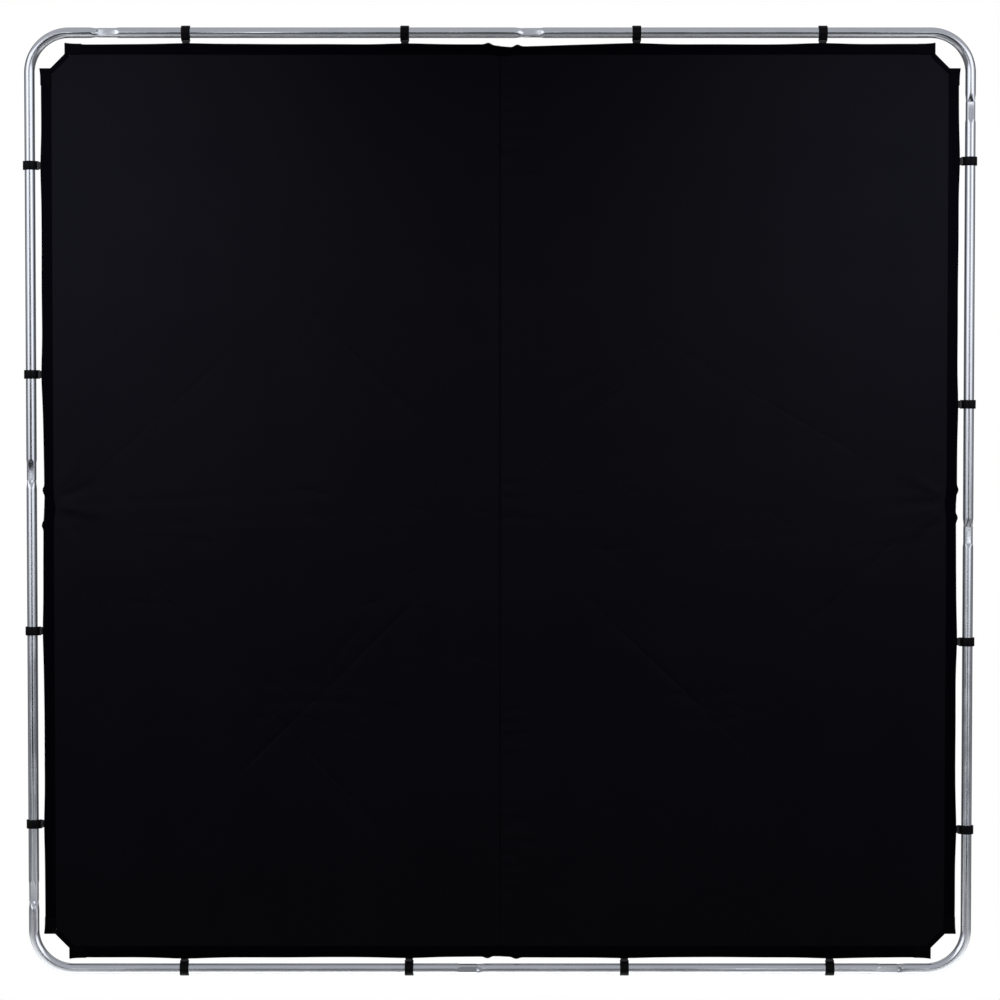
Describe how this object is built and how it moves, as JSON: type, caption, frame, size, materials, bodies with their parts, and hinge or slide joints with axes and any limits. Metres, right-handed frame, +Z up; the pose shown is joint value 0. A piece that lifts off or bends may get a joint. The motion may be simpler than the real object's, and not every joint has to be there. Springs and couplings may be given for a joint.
{
  "type": "light control panel",
  "caption": "Square black block-out panel clipped inside a collapsible frame of round aluminium tube with bent corners.",
  "frame": {"origin": "on the bottom tube's axis, halfway along the bottom side, where a grip head holds it", "axes": "+X to the right along the bottom tube, +Z up, the cover's front face towards -Y"},
  "size_m": [2.0076, 0.0258, 2.0076],
  "materials": {
    "frame_tube": "drawn, satin bright",
    "clip_plastic": "moulded, satin",
    "webbing": "woven elastic",
    "cover_cloth": "coated block-out cloth, soft sheen",
    "hem_cloth": "plain weave, matt",
    "batten": "pultruded strip",
    "shock_cord": "braided cover"
  },
  "bodies": {
    "top_side": {"top_tube": "frame_tube", "top_tube_cord": "shock_cord", "top_tube_straps": "webbing"},
    "right_side": {"right_tube": "frame_tube", "right_tube_cord": "shock_cord", "right_tube_straps": "webbing"},
    "bottom_side": {"bottom_tube": "frame_tube", "bottom_tube_cord": "shock_cord", "bottom_tube_straps": "webbing", "cover_left": "cover_cloth", "cover_right": "cover_cloth", "centre_seam_tape": "hem_cloth", "top_hem": "hem_cloth", "right_hem": "hem_cloth", "bottom_hem": "hem_cloth", "left_hem": "hem_cloth", "top_battens": "batten", "right_battens": "batten", "bottom_battens": "batten", "left_battens": "batten", "top_right_binding": "hem_cloth", "bottom_right_binding": "hem_cloth", "bottom_left_binding": "hem_cloth", "top_left_binding": "hem_cloth", "hem_end_patches": "hem_cloth", "hem_gathers": "cover_cloth"},
    "left_side": {"left_tube": "frame_tube", "left_tube_cord": "shock_cord", "left_tube_straps": "webbing"},
    "top_right_corner": {"top_right_corner_tube": "frame_tube", "top_right_corner_cord": "shock_cord", "top_right_corner_straps": "webbing"},
    "bottom_right_corner": {"bottom_right_corner_tube": "frame_tube", "bottom_right_corner_cord": "shock_cord", "bottom_right_corner_straps": "webbing"},
    "bottom_left_corner": {"bottom_left_corner_tube": "frame_tube", "bottom_left_corner_cord": "shock_cord", "bottom_left_corner_straps": "webbing"},
    "top_left_corner": {"top_left_corner_tube": "frame_tube", "top_left_corner_cord": "shock_cord", "top_left_corner_straps": "webbing"},
    "top_clip_1": {"top_clip_1": "clip_plastic"},
    "top_clip_2": {"top_clip_2": "clip_plastic"},
    "top_clip_3": {"top_clip_3": "clip_plastic"},
    "top_clip_4": {"top_clip_4": "clip_plastic"},
    "right_clip_1": {"right_clip_1": "clip_plastic"},
    "right_clip_2": {"right_clip_2": "clip_plastic"},
    "right_clip_3": {"right_clip_3": "clip_plastic"},
    "right_clip_4": {"right_clip_4": "clip_plastic"},
    "bottom_clip_1": {"bottom_clip_1": "clip_plastic"},
    "bottom_clip_2": {"bottom_clip_2": "clip_plastic"},
    "bottom_clip_3": {"bottom_clip_3": "clip_plastic"},
    "bottom_clip_4": {"bottom_clip_4": "clip_plastic"},
    "left_clip_1": {"left_clip_1": "clip_plastic"},
    "left_clip_2": {"left_clip_2": "clip_plastic"},
    "left_clip_3": {"left_clip_3": "clip_plastic"},
    "left_clip_4": {"left_clip_4": "clip_plastic"}
  },
  "joints": [
    {"name": "bottom_middle_joint", "type": "slide", "parent": "bottom_side", "child": "bottom_left_corner", "axis": [-1, 0, 0], "range_m": [0, 0.034]},
    {"name": "left_lower_joint", "type": "slide", "parent": "bottom_left_corner", "child": "left_side", "axis": [0, 0, 1], "range_m": [0, 0.034]},
    {"name": "left_middle_joint", "type": "slide", "parent": "left_side", "child": "top_left_corner", "axis": [0, 0, 1], "range_m": [0, 0.034]},
    {"name": "top_left_joint", "type": "slide", "parent": "top_left_corner", "child": "top_side", "axis": [1, 0, 0], "range_m": [0, 0.034]},
    {"name": "top_middle_joint", "type": "slide", "parent": "top_side", "child": "top_right_corner", "axis": [1, 0, 0], "range_m": [0, 0.034]},
    {"name": "right_upper_joint", "type": "slide", "parent": "top_right_corner", "child": "right_side", "axis": [0, 0, -1], "range_m": [0, 0.034]},
    {"name": "right_middle_joint", "type": "slide", "parent": "right_side", "child": "bottom_right_corner", "axis": [0, 0, -1], "range_m": [0, 0.034]},
    {"name": "top_clip_1_hinge", "type": "hinge", "parent": "top_side", "child": "top_clip_1", "pos_m": [-0.66, 0, 1.9615], "axis": [1, 0, 0], "range_deg": [0, 95]},
    {"name": "top_clip_2_hinge", "type": "hinge", "parent": "top_side", "child": "top_clip_2", "pos_m": [-0.2, 0, 1.9615], "axis": [1, 0, 0], "range_deg": [0, 95]},
    {"name": "top_clip_3_hinge", "type": "hinge", "parent": "top_right_corner", "child": "top_clip_3", "pos_m": [0.287, 0, 1.9615], "axis": [1, 0, 0], "range_deg": [0, 95]},
    {"name": "top_clip_4_hinge", "type": "hinge", "parent": "top_right_corner", "child": "top_clip_4", "pos_m": [0.678, 0, 1.9615], "axis": [1, 0, 0], "range_deg": [0, 95]},
    {"name": "right_clip_1_hinge", "type": "hinge", "parent": "right_side", "child": "right_clip_1", "pos_m": [0.9725, 0, 1.709], "axis": [0, 0, -1], "range_deg": [0, 95]},
    {"name": "right_clip_2_hinge", "type": "hinge", "parent": "right_side", "child": "right_clip_2", "pos_m": [0.9725, 0, 1.198], "axis": [0, 0, -1], "range_deg": [0, 95]},
    {"name": "right_clip_3_hinge", "type": "hinge", "parent": "bottom_right_corner", "child": "right_clip_3", "pos_m": [0.9725, 0, 0.696], "axis": [0, 0, -1], "range_deg": [0, 95]},
    {"name": "right_clip_4_hinge", "type": "hinge", "parent": "bottom_right_corner", "child": "right_clip_4", "pos_m": [0.9725, 0, 0.297], "axis": [0, 0, -1], "range_deg": [0, 95]},
    {"name": "bottom_clip_1_hinge", "type": "hinge", "parent": "bottom_side", "child": "bottom_clip_1", "pos_m": [0.7, 0, 0.0165], "axis": [-1, 0, 0], "range_deg": [0, 95]},
    {"name": "bottom_clip_2_hinge", "type": "hinge", "parent": "bottom_side", "child": "bottom_clip_2", "pos_m": [0.264, 0, 0.0165], "axis": [-1, 0, 0], "range_deg": [0, 95]},
    {"name": "bottom_clip_3_hinge", "type": "hinge", "parent": "bottom_left_corner", "child": "bottom_clip_3", "pos_m": [-0.193, 0, 0.0165], "axis": [-1, 0, 0], "range_deg": [0, 95]},
    {"name": "bottom_clip_4_hinge", "type": "hinge", "parent": "bottom_left_corner", "child": "bottom_clip_4", "pos_m": [-0.67, 0, 0.0165], "axis": [-1, 0, 0], "range_deg": [0, 95]},
    {"name": "left_clip_1_hinge", "type": "hinge", "parent": "left_side", "child": "left_clip_1", "pos_m": [-0.9725, 0, 0.309], "axis": [0, 0, 1], "range_deg": [0, 95]},
    {"name": "left_clip_2_hinge", "type": "hinge", "parent": "left_side", "child": "left_clip_2", "pos_m": [-0.9725, 0, 0.719], "axis": [0, 0, 1], "range_deg": [0, 95]},
    {"name": "left_clip_3_hinge", "type": "hinge", "parent": "top_left_corner", "child": "left_clip_3", "pos_m": [-0.9725, 0, 1.261], "axis": [0, 0, 1], "range_deg": [0, 95]},
    {"name": "left_clip_4_hinge", "type": "hinge", "parent": "top_left_corner", "child": "left_clip_4", "pos_m": [-0.9725, 0, 1.7], "axis": [0, 0, 1], "range_deg": [0, 95]}
  ],
  "couplings": [
    {"joint": "right_upper_joint", "follows": "left_lower_joint", "ratio": 1},
    {"joint": "right_middle_joint", "follows": "left_middle_joint", "ratio": 1},
    {"joint": "top_middle_joint", "follows": "bottom_middle_joint", "ratio": 1}
  ]
}
